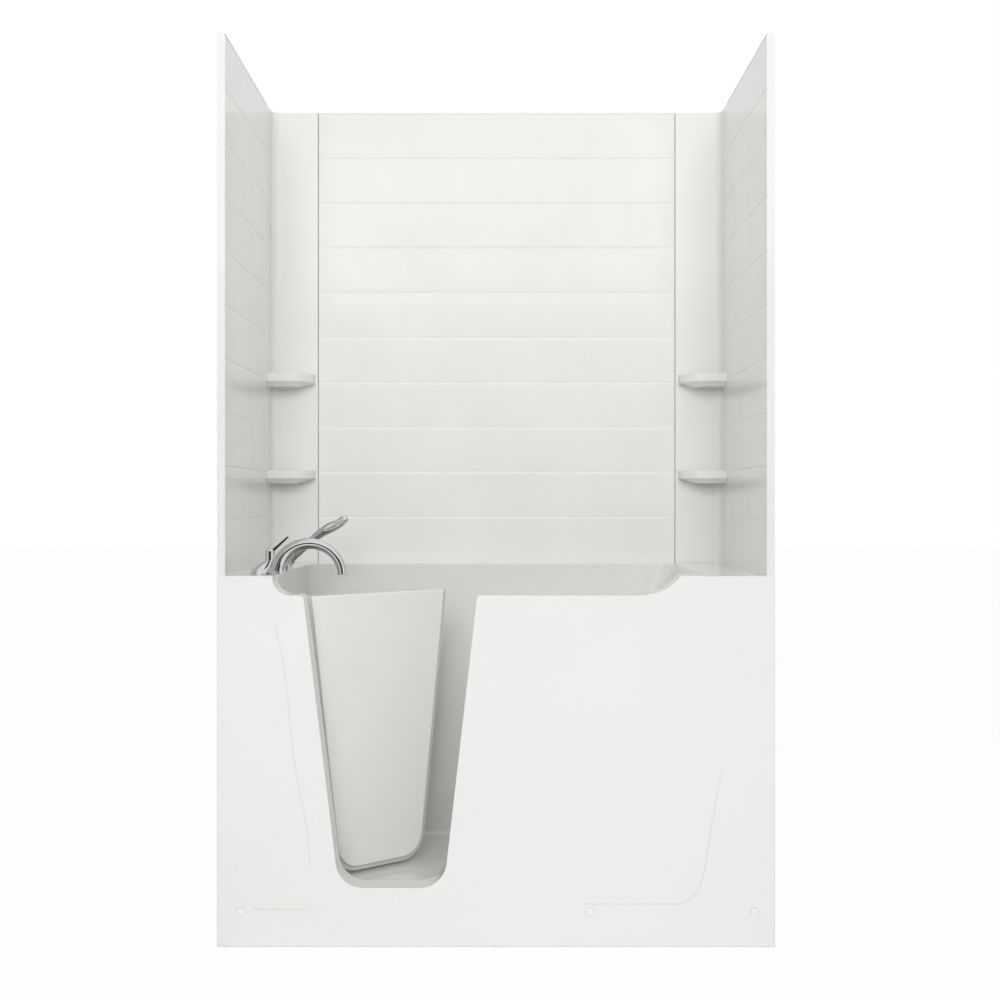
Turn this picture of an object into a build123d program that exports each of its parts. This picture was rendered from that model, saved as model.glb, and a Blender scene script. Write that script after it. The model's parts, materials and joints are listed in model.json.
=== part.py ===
import os
from math import acos, asin, cos, degrees, pi, radians, sin

from build123d import *

# Walk-in jetted bathtub with a tiled wall surround, in millimetres.
# X runs to the right, Y away from the viewer and Z up.
# The origin lies on the floor under the middle of the outer box.

# Overall size
tub_width = 1524.0
tub_depth = 762.0
deck_z = 1016.0
wall_top_z = 2499.0
half_width = tub_width / 2
left_x = -half_width
right_x = half_width
front_y = -tub_depth / 2
back_y = tub_depth / 2

# Shell and apron walls
shell_wall = 8.0
apron_wall = 6.0
apron_bottom_z = 3.0
deck_lip_drop = 30.0

# Front opening: the dipped rim and the tapered doorway that share one outline
rim_z = deck_z - 53.0
rim_left_x = left_x + 151.0
rim_left_r = 50.0
rise_start_x = right_x - 367.0
rise_r = 139.0
doorway_left_top_x = left_x + 235.6
doorway_right_top_x = left_x + 710.3
doorway_left_foot_x = left_x + 332.7
doorway_right_foot_x = left_x + 619.3
sill_z = 164.0
doorway_foot_r = 74.0
doorway_shoulder_r = 14.0

# Basin: foot well and seat, measured on the inner faces
rim_depth = 80.0
floor_z = 145.0
seat_z = 582.0
well_left_top_x = left_x + 152.0
well_left_floor_x = left_x + 162.0
well_right_seat_x = left_x + 738.0
well_right_floor_x = left_x + 728.0
basin_back_top_y = back_y - 81.0
basin_back_floor_y = back_y - 104.0
backrest_foot_x = right_x - 342.0
backrest_top_x = right_x - 185.0
front_corner_r = 16.0
back_corner_r = 80.0
seat_front_corner_r = 40.0
floor_r = 12.0
seat_r = 24.0
seat_nose_r = 24.0
upright_least = 120.0
plan_reach = 14.0

# Wall surround
wall_sheet = 6.0
wall_inset = 22.0
corner_on_back = 150.0
corner_on_side = 132.0
corner_r = 30.0
panel_gap = 1.0
tile_pitch = 147.5
tile_line_w = 3.0
tile_line_depth = 1.2
shelf_upper_z = wall_top_z - 866.0
shelf_lower_z = wall_top_z - 1179.0
shelf_on_back = 142.0
shelf_on_side = 108.0
shelf_thick = 42.0
shelf_taper = 26.0
shelf_edge = 26.0
shelf_flat = 80.0
shelf_bow_x = 0.3
shelf_bow_y = 0.36
shelf_rib_r = 2.0
shelf_rib_pitch = 11.0

# Embossed lines and screws of the apron
emboss_w = 3.0
emboss_depth = 1.0
cap_r = 11.0
cap_depth = 2.6
cap_thick = 1.6
cap_z = 99.0
cap_xs = (left_x + 65.0, 256.0, right_x - 55.0)
screw_r = 2.4
screw_length = 34.0

# Door, its hinges and its latch, drawn shut and then swung to the rest angle
door_rest_angle = 39.0
door_top_z = rim_z - 10.0
door_gap = 4.0
door_flange_grow = 10.0
door_liner_grow = 4.0
door_pad_front_y = front_y + 70.0
door_flange_front_y = front_y + 85.0
door_flange_back_y = door_flange_front_y + 10.0
door_liner_back_y = door_flange_back_y + 20.0
door_liner_r = 5.0
door_pad_r = 4.0
lever_edge_r = 3.0
seal_free = 0.3
hinge_x = left_x + 202.0
hinge_y = front_y + 90.0
hinge_zs = (320.0, deck_z - 196.0)
hinge_half = 40.0
knuckle_half = 20.0
knuckle_gap = 0.3
knuckle_r = 6.5
hinge_pin_r = 3.5
running_gap = 0.05
hinge_plate = 3.0
hinge_plate_w = 22.0
strap_thick = 5.0
strap_half_h = 18.0
strap_on_liner = 60.0
latch_x = left_x + 637.0
latch_z = 700.0
rose_r = 24.0
rose_thick = 4.0
slack = 0.3
tongue_thick = 5.0
tongue_reach = 79.0
tongue_w = 20.0
lever_hub_r = 16.0
lever_hub_h = 16.0
lever_length = 120.0
lever_w = 18.0
spindle_r = 5.0
spindle_length = 14.0
keeper_x_low = left_x + 698.0
keeper_x_high = left_x + 732.0
keeper_post_w = 10.0
keeper_plate = 4.0
keeper_half_h = 15.0

# Steel frame and feet
tube = 30.0
base_rail_z = 77.0
rail_joint = 0.2
frame_inset = 8.0
well_bearer_xs = (left_x + 322.0, left_x + 462.0)
seat_post_xs = (left_x + 787.0, right_x - 347.0)
bearer_xs = (*well_bearer_xs, *seat_post_xs, right_x - 247.0, right_x - 57.0)
seat_post_ys = (front_y + 111.0, back_y - 151.0)
front_post_x = left_x + 837.0
foot_pad_r = 22.0
foot_inset = 8.0
foot_pad_h = 10.0
foot_stud_r = 5.0
foot_nut_r = 9.0
foot_nut_h = 10.0

# Drain, overflow and waste
drain_x = left_x + 226.0
drain_y = back_y - 207.0
drain_flange_r = 38.0
drain_flange_h = 3.5
drain_body_r = 25.7
drain_bore_r = 20.0
drain_body_z = 95.0
drain_guide_z = 105.0
drain_guide_h = 10.0
stopper_r = 27.0
stopper_h = 6.0
stopper_stem_r = 4.0
overflow_z = deck_z - 136.0
overflow_r = 38.0
overflow_thick = 6.0
overflow_knob_r = 22.0
overflow_knob_h = 16.0
overflow_tube_r = 23.7
overflow_tube_length = 28.0
knob_spindle_r = 4.0
grip_count = 12
grip_r = 1.6
waste_r = 19.0
waste_x = left_x + 112.0
waste_z = 75.0
waste_outlet_z = 20.0
waste_tee_wall = 3.0

# Jet pump, suction and water lines
pump_y = 30.0
pump_z = 235.0
wet_end_x = right_x - 242.0
wet_end_length = 78.0
wet_end_r = 80.0
wet_end_wall = 8.0
motor_r = 70.0
motor_length = 110.0
impeller_r = 60.0
impeller_w = 30.0
impeller_disc = 6.0
pump_shaft_r = 6.0
suction_r = 24.0
suction_grille_r = 50.0
suction_grille_h = 6.0
suction_throat_r = 28.0
suction_depth = 40.0
bracket_thick = 6.0
bracket_width = 200.0
saddle_w = 84.0
saddle_drop = 56.0
wet_end_nose = 20.0
impeller_blades = 6
impeller_blade_w = 4.0
motor_shaft_deep = 20.0
motor_fins = 24
motor_fin_deep = 2.5
motor_fin_w = 4.0
motor_box_w = 60.0
motor_box_h = 18.0
grille_pitch = 11.0
grille_count = 5
grille_hole_r = 3.5
water_r = 12.0
elbow_proud = 1.5
air_r = 6.0
water_low_bend = 18.0
water_high_bend = 30.0
water_riser_x = right_x - 282.0
air_riser_x = right_x - 262.0

# Jets
jet_low_z = 361.6
jet_low_xs = (left_x + 332.0, left_x + 482.0)
jet_high_z = 741.0
jet_high_xs = (right_x - 642.0, right_x - 432.0)
jet_rest_z = 760.0
jet_rest_ys = (-130.0, 130.0)
jet_flange_r = 32.0
jet_flange_h = 4.0
jet_tube_r = 21.7
jet_hole_gap = 0.3
jet_tube_length = 34.0
jet_nut_r = 30.0
jet_nut_h = 8.0
jet_throat_r = 18.0
jet_nozzle_deep = 12.0
nozzle_proud = 2.0
nozzle_slots = 3
nozzle_slot_w = 5.0
nozzle_slot_deep = 4.0
nozzle_edge_r = 2.0
jet_bore_r = 7.0
jet_stub_r = 9.0
jet_stub_length = 60.0
jet_air_up = 40.0
jet_air_back = 25.0
stub_bite = 1.2

# Bather's controls on the inner face of the front wall
control_z = deck_z - 116.0
air_control_x = right_x - 462.0
pump_button_x = right_x - 372.0
control_flange_r = 25.0
control_tube_r = 17.7
control_depth = 46.0
air_knob_r = 20.0
air_knob_h = 14.0
button_r = 12.0
button_travel = 4.0

# Tub filler on the left deck
mixer_x = left_x + 103.0
mixer_y = front_y + 95.0
bell_root_r = 30.0
bell_neck_r = 11.0
bell_steps = 3
hub_x = mixer_x + 25.0
hub_low_z = deck_z + 40.0
hub_r = 13.0
hub_h = 30.0
blade_pivot_z = deck_z + 58.0
blade_w = 8.0
blade_root_r = 8.5
blade_side_gap = 0.9
blade_pin_half = 10.4
blade_tip_x = hub_x + 52.0
blade_tip_z = deck_z + 105.0
blade_pin_r = 2.0
blade_tip_w = 13.0
blade_tip_thick = 4.0
spout_x = left_x + 120.0
spout_half_span = 95.0
spout_rise = 91.0
spout_drop = 11.0
spout_body_r = 18.0
spout_tip_r = 13.0
spout_flare = 6.0
spout_flare_power = 5
spout_steps = 8
spout_mouth_r = 9.0
spout_mouth_deep = 12.0
spout_y = front_y + 260.0
diverter_x = left_x + 110.0
diverter_y = front_y + 340.0
collar_r = 20.0
collar_h = 9.0
diverter_knob_r = 15.0
diverter_knob_h = 26.0
holder_wall = 4.0
holder_floor = 4.0
holder_deep = 22.0
wand_straight = 104.0
holder_x = left_x + 120.0
holder_y = front_y + 420.0
shank_r = 9.7
shank_hole_r = 10.0
shank_low_z = deck_z - 71.0
deck_nut_r = 18.0
deck_nut_h = 10.0
valve_z = deck_z - 61.0
valve_r = 18.0
valve_half = 44.0
inlet_r = 10.3
inlet_low_z = deck_z - 101.0
inlet_length = 22.0
inlet_collar = 3.0
inlet_offset = 30.0
crossover_r = 9.0
wand_r = 12.0
wand_bore_gap = 0.3
wand_angle = 42.4
head_angle = 21.0
head_length = 129.0
head_turn = 1.7
head_half_w = 25.0
head_half_h = 15.0
head_close = 0.62
head_steps = 5
wand_start = (left_x + 122.0, deck_z + 15.0)

apron_back_y = front_y + apron_wall
jamb_y = front_y + rim_depth
wall_x = half_width - wall_inset
wall_y = back_y - wall_inset
over_z = deck_z + rim_depth


def save(part, name):
    part.label = name
    export_step(part, f"parts/{name}.step")


os.makedirs("parts", exist_ok=True)


# The outline of the front opening, drawn with height along the sketch's Y
def front_opening(plane, grow=0.0):
    rise_angle = degrees(acos(1 - (deck_z - rim_z) / rise_r))
    with BuildSketch(plane) as outline:
        with BuildLine():
            flat = Polyline(
                (rim_left_x, over_z),
                (rim_left_x, rim_z),
                (doorway_left_top_x, rim_z),
                (doorway_left_foot_x, sill_z),
                (doorway_right_foot_x, sill_z),
                (doorway_right_top_x, rim_z),
                (rise_start_x, rim_z),
            )
            rise = JernArc(flat @ 1, (1, 0), rise_r, rise_angle)
            Polyline(rise @ 1, ((rise @ 1).X, over_z), (rim_left_x, over_z))
        make_face()
        rounds = (
            (rim_left_x, rim_z, rim_left_r),
            (doorway_left_top_x, rim_z, doorway_shoulder_r),
            (doorway_left_foot_x, sill_z, doorway_foot_r),
            (doorway_right_foot_x, sill_z, doorway_foot_r),
        )
        for x, z, radius in rounds:
            fillet(outline.vertices().sort_by_distance((x, z))[0], radius)
        if grow:
            offset(amount=grow, kind=Kind.INTERSECTION)
    return outline.sketch


# The upright edges of a basin space whose middles lie near a point in plan
def upright_edges(space, x, y):
    tall = [edge for edge in space.edges() if edge.bounding_box().size.Z > upright_least]
    near_x = [edge for edge in tall if abs(edge.center().X - x) < plan_reach]
    return [edge for edge in near_x if abs(edge.center().Y - y) < plan_reach]


# The space inside the basin, or with grow the outside of its walls
def basin_space(grow=0.0):
    with BuildSketch(Plane.XZ) as side:
        with BuildLine():
            Polyline(
                (well_left_top_x, deck_z),
                (well_left_floor_x, floor_z),
                (well_right_floor_x, floor_z),
                (well_right_seat_x, seat_z),
                (backrest_foot_x, seat_z),
                (backrest_top_x, deck_z),
                close=True,
            )
        make_face()
        fillet(side.vertices().sort_by_distance((well_right_seat_x, seat_z))[0], seat_nose_r)
        if grow:
            offset(amount=grow, kind=Kind.INTERSECTION)
    with BuildSketch(Plane.YZ) as end:
        with BuildLine():
            Polyline(
                (jamb_y, deck_z),
                (jamb_y, floor_z),
                (basin_back_floor_y, floor_z),
                (basin_back_top_y, deck_z),
                close=True,
            )
        make_face()
        if grow:
            offset(amount=grow, kind=Kind.INTERSECTION)
    with BuildPart() as space:
        extrude(side.sketch, amount=tub_depth, both=True)
        extrude(end.sketch, amount=tub_width, both=True, mode=Mode.INTERSECT)
        left_x = (well_left_top_x + well_left_floor_x) / 2 - grow
        right_x = (backrest_foot_x + backrest_top_x) / 2 + grow
        back_mid_y = (basin_back_top_y + basin_back_floor_y) / 2 + grow
        corners = (
            (left_x, back_mid_y, back_corner_r),
            (left_x, jamb_y - grow, front_corner_r),
            (right_x, back_mid_y, back_corner_r),
            (right_x, jamb_y - grow, seat_front_corner_r),
        )
        for x, y, radius in corners:
            fillet(upright_edges(space, x, y), radius + grow)
        seat = space.faces().filter_by(Axis.Z).sort_by(Axis.Z)[1]
        fillet([edge for edge in seat.edges() if edge.center().X > 0], seat_r + grow)
        well_floor = space.faces().filter_by(Axis.Z).sort_by(Axis.Z)[0]
        fillet(well_floor.edges(), floor_r + grow)
    return space.part


# The position of a wall's inner face at a height, from its foot to its top
def lean(foot, top, foot_z, top_z, z):
    return foot + (top - foot) * (z - foot_z) / (top_z - foot_z)


# A plane on a leaning wall, its Z into the basin and its Y up the wall
def back_wall_plane(x, z):
    rise = deck_z - floor_z
    run = basin_back_top_y - basin_back_floor_y
    y = lean(basin_back_floor_y, basin_back_top_y, floor_z, deck_z, z)
    return Plane(origin=(x, y, z), x_dir=(1, 0, 0), z_dir=(0, -rise, run))


def backrest_plane(y, z):
    rise = deck_z - seat_z
    run = backrest_top_x - backrest_foot_x
    x = lean(backrest_foot_x, backrest_top_x, seat_z, deck_z, z)
    return Plane(origin=(x, y, z), x_dir=(0, -1, 0), z_dir=(-rise, 0, run))


def left_wall_plane(y, z):
    rise = deck_z - floor_z
    run = well_left_floor_x - well_left_top_x
    x = lean(well_left_floor_x, well_left_top_x, floor_z, deck_z, z)
    return Plane(origin=(x, y, z), x_dir=(0, 1, 0), z_dir=(rise, 0, run))


def well_right_plane(y, z):
    rise = seat_z - floor_z
    run = well_right_seat_x - well_right_floor_x
    x = lean(well_right_floor_x, well_right_seat_x, floor_z, seat_z, z)
    return Plane(origin=(x, y, z), x_dir=(0, -1, 0), z_dir=(-rise, 0, run))


def front_wall_plane(x, z):
    return Plane(origin=(x, jamb_y, z), x_dir=(-1, 0, 0), z_dir=(0, 1, 0))


# A round disc or rod on a plane between two heights above it
def disc(plane, radius, low, high, mode=Mode.ADD):
    with BuildSketch(plane.offset(low)) as circle:
        Circle(radius)
    extrude(circle.sketch, amount=high - low, mode=mode)


# A round pipe through a list of points
def pipe(points, radius):
    with BuildPart() as run:
        for start, end in zip(points, points[1:]):
            along = Vector(end) - Vector(start)
            with BuildSketch(Plane(origin=start, z_dir=along)):
                Circle(radius)
            extrude(amount=along.length)
        for knee in points[1:-1]:
            with Locations(knee):
                Sphere(radius + elbow_proud)
    return run.part


# A round pipe swept along straight runs joined by rounded bends
def bent_pipe(points, radius, bend):
    with BuildLine() as path:
        FilletPolyline(*points, radius=bend)
    along = Vector(points[1]) - Vector(points[0])
    with BuildSketch(Plane(origin=points[0], z_dir=along)) as section:
        Circle(radius)
    return sweep(section.sketch, path=path.line)


jet_planes = [back_wall_plane(x, jet_low_z) for x in jet_low_xs]
jet_planes += [back_wall_plane(x, jet_high_z) for x in jet_high_xs]
jet_planes += [backrest_plane(y, jet_rest_z) for y in jet_rest_ys]
overflow_plane = left_wall_plane(drain_y, overflow_z)
suction_plane = well_right_plane(pump_y, pump_z)
air_control_plane = front_wall_plane(air_control_x, control_z)
pump_button_plane = front_wall_plane(pump_button_x, control_z)
fittings = ((mixer_x, mixer_y), (spout_x, spout_y), (diverter_x, diverter_y), (holder_x, holder_y))

with BuildPart() as tub_shell:
    middle_y = (apron_back_y + back_y) / 2
    with BuildSketch(Plane.XY.offset(deck_z - deck_lip_drop)):
        with Locations((0, middle_y)):
            Rectangle(tub_width, back_y - apron_back_y)
    extrude(amount=deck_lip_drop)
    with BuildSketch(Plane.XY.offset(deck_z - deck_lip_drop)):
        with Locations((0, middle_y - shell_wall / 2)):
            Rectangle(tub_width - 2 * shell_wall, back_y - apron_back_y - shell_wall)
    extrude(amount=deck_lip_drop - shell_wall, mode=Mode.SUBTRACT)
    add(basin_space(shell_wall))
    extrude(front_opening(Plane.XZ.offset(-jamb_y), shell_wall), amount=jamb_y - apron_back_y)
    with BuildSketch(Plane.XY.offset(deck_z)):
        Rectangle(2 * tub_width, 2 * tub_depth)
    extrude(amount=over_z, mode=Mode.SUBTRACT)
    add(basin_space(), mode=Mode.SUBTRACT)
    doorway = front_opening(Plane.XZ.offset(-jamb_y - shell_wall))
    extrude(doorway, amount=rim_depth + 2 * shell_wall, mode=Mode.SUBTRACT)
    wall_cut = 3 * shell_wall
    for plane in jet_planes:
        disc(plane, jet_tube_r + jet_hole_gap, -wall_cut, shell_wall, Mode.SUBTRACT)
    disc(overflow_plane, overflow_tube_r + jet_hole_gap, -wall_cut, shell_wall, Mode.SUBTRACT)
    disc(suction_plane, suction_throat_r + jet_hole_gap, -wall_cut, shell_wall, Mode.SUBTRACT)
    disc(air_control_plane, control_tube_r + jet_hole_gap, -wall_cut, shell_wall, Mode.SUBTRACT)
    disc(pump_button_plane, control_tube_r + jet_hole_gap, -wall_cut, shell_wall, Mode.SUBTRACT)
    drain_plane = Plane(origin=(drain_x, drain_y, floor_z))
    disc(drain_plane, drain_body_r + jet_hole_gap, -wall_cut, shell_wall, Mode.SUBTRACT)
    with BuildSketch(Plane.XY.offset(deck_z)):
        with Locations(*fittings):
            Circle(shank_hole_r)
    extrude(amount=-wall_cut, mode=Mode.SUBTRACT)
save(tub_shell.part, "tub_shell")

# Front apron with its opening, faint embossed lines and recesses for the caps
with BuildPart() as front_apron:
    with BuildSketch(Plane.XZ.offset(-apron_back_y)):
        with Locations((0, (deck_z + apron_bottom_z) / 2)):
            Rectangle(tub_width, deck_z - apron_bottom_z)
    extrude(amount=apron_wall)
    extrude(front_opening(Plane.XZ.offset(-apron_back_y)), amount=apron_wall, mode=Mode.SUBTRACT)
    with BuildSketch(Plane.XZ.offset(-front_y)):
        with BuildLine():
            Spline(
                (right_x - 142, 489),
                (right_x - 169, 355),
                (right_x - 194, 210),
                (right_x - 210, 158),
                (right_x - 243, 127),
                (right_x - 274, 119),
            )
            Line((right_x - 274, 119), (right_x - 522, 119))
        trace(line_width=emboss_w)
        with BuildLine():
            Spline(
                (left_x + 156, 885),
                (left_x + 194, 677),
                (left_x + 218, 467),
                (left_x + 232, 399),
                (left_x + 254, 224),
            )
        trace(line_width=emboss_w)
        with BuildLine():
            Spline((left_x + 98, 112), (left_x + 112, 106), (left_x + 142, 105))
            Line((left_x + 142, 105), (left_x + 243, 105))
        trace(line_width=emboss_w)
    extrude(amount=-emboss_depth, mode=Mode.SUBTRACT)
    with BuildSketch(Plane.XZ.offset(-front_y)):
        with Locations(*[(x, cap_z) for x in cap_xs]):
            Circle(cap_r + slack)
    extrude(amount=-cap_depth, mode=Mode.SUBTRACT)
    with BuildSketch(Plane.XZ.offset(-front_y)):
        with Locations(*[(x, cap_z) for x in cap_xs]):
            Circle(screw_r + slack / 2)
    extrude(amount=-apron_wall, mode=Mode.SUBTRACT)
save(front_apron.part, "front_apron")

with BuildPart() as screw_caps:
    with BuildSketch(Plane.XZ.offset(-front_y)):
        with Locations(*[(x, cap_z) for x in cap_xs]):
            Circle(cap_r)
    extrude(amount=-cap_thick)
save(screw_caps.part, "screw_caps")

with BuildPart() as apron_screws:
    with BuildSketch(Plane.XZ.offset(-front_y - cap_depth)):
        with Locations(*[(x, cap_z) for x in cap_xs]):
            Circle(screw_r * 2)
    extrude(amount=cap_depth - cap_thick)
    with BuildSketch(Plane.XZ.offset(-front_y - cap_depth)):
        with Locations(*[(x, cap_z) for x in cap_xs]):
            Circle(screw_r)
    extrude(amount=-screw_length)
save(apron_screws.part, "apron_screws")


# Lines between tiles, cut into a sheet that lies on the sketch plane
def tile_lines(plane, width, uprights, levels):
    with BuildSketch(plane) as grid:
        for x in uprights:
            with Locations((x, (deck_z + wall_top_z) / 2)):
                Rectangle(tile_line_w, wall_top_z - deck_z)
        for z in levels:
            with Locations((width[0] / 2 + width[1] / 2, z)):
                Rectangle(width[1] - width[0], tile_line_w)
    extrude(grid.sketch, amount=-tile_line_depth, mode=Mode.SUBTRACT)


first_line_z = (deck_z + wall_top_z) / 2 - 4 * tile_pitch
line_zs = [first_line_z + row * tile_pitch for row in range(9)]
back_half = wall_x - corner_on_back - panel_gap
side_back_y = wall_y - corner_on_side - panel_gap

with BuildPart() as back_wall_panel:
    with BuildSketch(Plane.XZ.offset(-wall_y)):
        with Locations((0, (deck_z + wall_top_z) / 2)):
            Rectangle(2 * back_half, wall_top_z - deck_z)
    extrude(amount=-wall_sheet)
    tile_lines(
        Plane.XZ.offset(-wall_y),
        (-back_half, back_half),
        [tile_pitch * column for column in range(-3, 4)],
        line_zs,
    )
save(back_wall_panel.part, "back_wall_panel")

with BuildPart() as right_wall_panel:
    with BuildSketch(Plane.XY.offset(deck_z)):
        with BuildLine():
            Polyline(
                (wall_x, front_y),
                (half_width, front_y),
                (half_width, front_y + wall_sheet),
                (wall_x + wall_sheet, front_y + wall_sheet),
                (wall_x + wall_sheet, side_back_y),
                (wall_x, side_back_y),
                close=True,
            )
        make_face()
    extrude(amount=wall_top_z - deck_z)
    side_face = Plane(origin=(wall_x, 0, 0), x_dir=(0, -1, 0), z_dir=(-1, 0, 0))
    tile_lines(
        side_face,
        (-side_back_y, -front_y - tile_line_w),
        [-front_y - tile_pitch * column for column in range(1, 5)],
        line_zs,
    )
with BuildPart() as left_wall_panel:
    mirror(right_wall_panel.part, about=Plane.YZ)
save(right_wall_panel.part, "right_wall_panel")
save(left_wall_panel.part, "left_wall_panel")

with BuildPart() as right_corner_panel:
    with BuildSketch(Plane.XY.offset(deck_z)):
        with BuildLine():
            Polyline(
                (wall_x - corner_on_back, wall_y),
                (wall_x, wall_y),
                (wall_x, wall_y - corner_on_side),
                (wall_x + wall_sheet, wall_y - corner_on_side),
                (wall_x + wall_sheet, wall_y + wall_sheet),
                (wall_x - corner_on_back, wall_y + wall_sheet),
                close=True,
            )
        make_face()
    extrude(amount=wall_top_z - deck_z)
    fillet(upright_edges(right_corner_panel, wall_x, wall_y)[:1], corner_r)
with BuildPart() as left_corner_panel:
    mirror(right_corner_panel.part, about=Plane.YZ)
save(right_corner_panel.part, "right_corner_panel")
save(left_corner_panel.part, "left_corner_panel")


# Plan of a corner shelf: straight front that bends back to the wall at its free end
def shelf_plan(z, draw_in):
    with BuildSketch(Plane.XY.offset(z)) as plan:
        with BuildLine():
            x_far = wall_x - shelf_on_back + draw_in * 2
            y_far = wall_y - shelf_on_side + draw_in
            flat_x = wall_x - shelf_flat
            Polyline((x_far, wall_y), (wall_x, wall_y), (wall_x, y_far), (flat_x, y_far))
            ThreePointArc(
                (flat_x, y_far),
                (x_far + (flat_x - x_far) * shelf_bow_x, y_far + (wall_y - y_far) * shelf_bow_y),
                (x_far, wall_y),
            )
        make_face()
        corner = sorted(plan.vertices(), key=lambda point: point.X + point.Y)[-1]
        fillet(corner, corner_r + panel_gap)
    return plan.sketch.face()


# A corner shelf: upright front edge, ridged top and an underside that tapers back
def corner_shelf(top_z):
    with BuildPart() as shelf:
        edge_plan = shelf_plan(top_z - shelf_edge, 0)
        extrude(edge_plan, amount=shelf_edge)
        loft([edge_plan, shelf_plan(top_z - shelf_thick, shelf_taper)], ruled=True)
        with BuildSketch(Plane.XZ.offset(-wall_y + shelf_rib_r)):
            count = int((shelf_on_back - 4 * shelf_rib_r) / shelf_rib_pitch)
            for index in range(count):
                with Locations((wall_x - shelf_rib_pitch * (index + 1), top_z)):
                    Circle(shelf_rib_r)
        extrude(amount=2 * shelf_on_side, mode=Mode.SUBTRACT)
    return shelf.part


with BuildPart() as right_shelves:
    add(corner_shelf(shelf_upper_z))
    add(corner_shelf(shelf_lower_z))
with BuildPart() as left_shelves:
    mirror(right_shelves.part, about=Plane.YZ)
save(right_shelves.part, "right_shelves")
save(left_shelves.part, "left_shelves")

# The doorway's tapered outline, grown outward and trimmed at the door's top
def door_outline(plane, grow):
    with BuildSketch(plane) as outline:
        with BuildLine():
            left_slope = (doorway_left_foot_x - doorway_left_top_x) / (rim_z - sill_z)
            right_slope = (doorway_right_top_x - doorway_right_foot_x) / (rim_z - sill_z)
            Polyline(
                (doorway_left_foot_x - left_slope * (over_z - sill_z), over_z),
                (doorway_left_foot_x, sill_z),
                (doorway_right_foot_x, sill_z),
                (doorway_right_foot_x + right_slope * (over_z - sill_z), over_z),
                close=True,
            )
        make_face()
        fillet(outline.vertices().group_by(Axis.Y)[0], doorway_foot_r)
        offset(amount=grow, kind=Kind.INTERSECTION)
        with Locations((0, door_top_z + rim_z / 2)):
            Rectangle(tub_width, rim_z, mode=Mode.SUBTRACT)
    return outline.sketch


def doorway_left_at(z):
    return lean(doorway_left_foot_x, doorway_left_top_x, sill_z, rim_z, z)


# Swings a piece from the shut door's place to its place at rest
def swing(piece):
    return piece.rotate(Axis((hinge_x, hinge_y, 0), (0, 0, 1)), door_rest_angle)


with BuildPart() as door_panel:
    flange = door_outline(Plane.XZ.offset(-door_flange_back_y), door_flange_grow)
    extrude(flange, amount=door_flange_back_y - door_flange_front_y)
    pad = door_outline(Plane.XZ.offset(-door_flange_front_y), -door_gap)
    extrude(pad, amount=door_flange_front_y - door_pad_front_y)
    fillet(door_panel.faces().sort_by(Axis.Y)[0].edges(), door_pad_r)
save(swing(door_panel.part), "door_panel")

with BuildPart() as door_liner:
    liner_outline = door_outline(Plane.XZ.offset(-door_liner_back_y), door_liner_grow)
    extrude(liner_outline, amount=door_liner_back_y - door_flange_back_y)
    fillet(door_liner.faces().sort_by(Axis.Y)[-1].edges(), door_liner_r)
    latch_axis = Plane(origin=(latch_x, door_liner_back_y, latch_z), x_dir=(-1, 0, 0), z_dir=(0, 1, 0))
    disc(latch_axis, spindle_r + running_gap, -spindle_length - slack, rose_thick, Mode.SUBTRACT)
save(swing(door_liner.part), "door_liner")

with BuildPart() as door_seal:
    seal_front_y = jamb_y + seal_free
    outer = door_outline(Plane.XZ.offset(-door_flange_front_y), door_flange_grow - 1)
    extrude(outer, amount=door_flange_front_y - seal_front_y)
    inner = door_outline(Plane.XZ.offset(-door_flange_front_y), -door_gap)
    extrude(inner, amount=door_flange_front_y - seal_front_y, mode=Mode.SUBTRACT)
save(swing(door_seal.part), "door_seal")

# Hinges: two leaves on the basin wall, two straps on the door, a pin in each
hinge_plan = Plane(origin=(hinge_x, hinge_y, 0))
with BuildPart() as hinge_leaves:
    for z in hinge_zs:
        with BuildSketch(Plane.XY.offset(z - hinge_half)):
            with BuildLine():
                Polyline(
                    (hinge_x - hinge_plate_w, jamb_y),
                    (hinge_x, jamb_y),
                    (hinge_x, jamb_y + hinge_plate),
                    (hinge_x - hinge_plate_w, jamb_y + hinge_plate),
                    close=True,
                )
            make_face()
        extrude(amount=2 * hinge_half)
        for low in (z - hinge_half, z + knuckle_half):
            with BuildSketch(Plane.XY.offset(low)):
                with Locations((hinge_x, hinge_y)):
                    Circle(knuckle_r)
                with Locations((hinge_x - knuckle_r, (jamb_y + hinge_y) / 2)):
                    Rectangle(2 * knuckle_r, hinge_y - jamb_y)
                with Locations((hinge_x, hinge_y)):
                    Circle(hinge_pin_r + running_gap, mode=Mode.SUBTRACT)
            extrude(amount=hinge_half - knuckle_half)
save(hinge_leaves.part, "hinge_leaves")

with BuildPart() as hinge_pins:
    for z in hinge_zs:
        disc(hinge_plan, hinge_pin_r, z - hinge_half, z + hinge_half)
        disc(hinge_plan, knuckle_r, z + hinge_half, z + hinge_half + hinge_plate)
save(hinge_pins.part, "hinge_pins")

with BuildPart() as hinge_straps:
    for z in hinge_zs:
        strap_end_x = doorway_left_at(z) + strap_on_liner
        with BuildSketch(Plane.XY.offset(z - knuckle_half + knuckle_gap)):
            with Locations((hinge_x, hinge_y)):
                Circle(knuckle_r)
            with Locations((hinge_x, (hinge_y + door_liner_back_y + strap_thick) / 2)):
                Rectangle(2 * knuckle_r, door_liner_back_y + strap_thick - hinge_y)
            with Locations((hinge_x, hinge_y)):
                Circle(hinge_pin_r + running_gap, mode=Mode.SUBTRACT)
        extrude(amount=2 * (knuckle_half - knuckle_gap))
        with BuildSketch(Plane.XY.offset(z - strap_half_h)):
            with Locations(((hinge_x - knuckle_r + strap_end_x) / 2, door_liner_back_y + strap_thick / 2)):
                Rectangle(strap_end_x - hinge_x + knuckle_r, strap_thick)
        extrude(amount=2 * strap_half_h)
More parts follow.
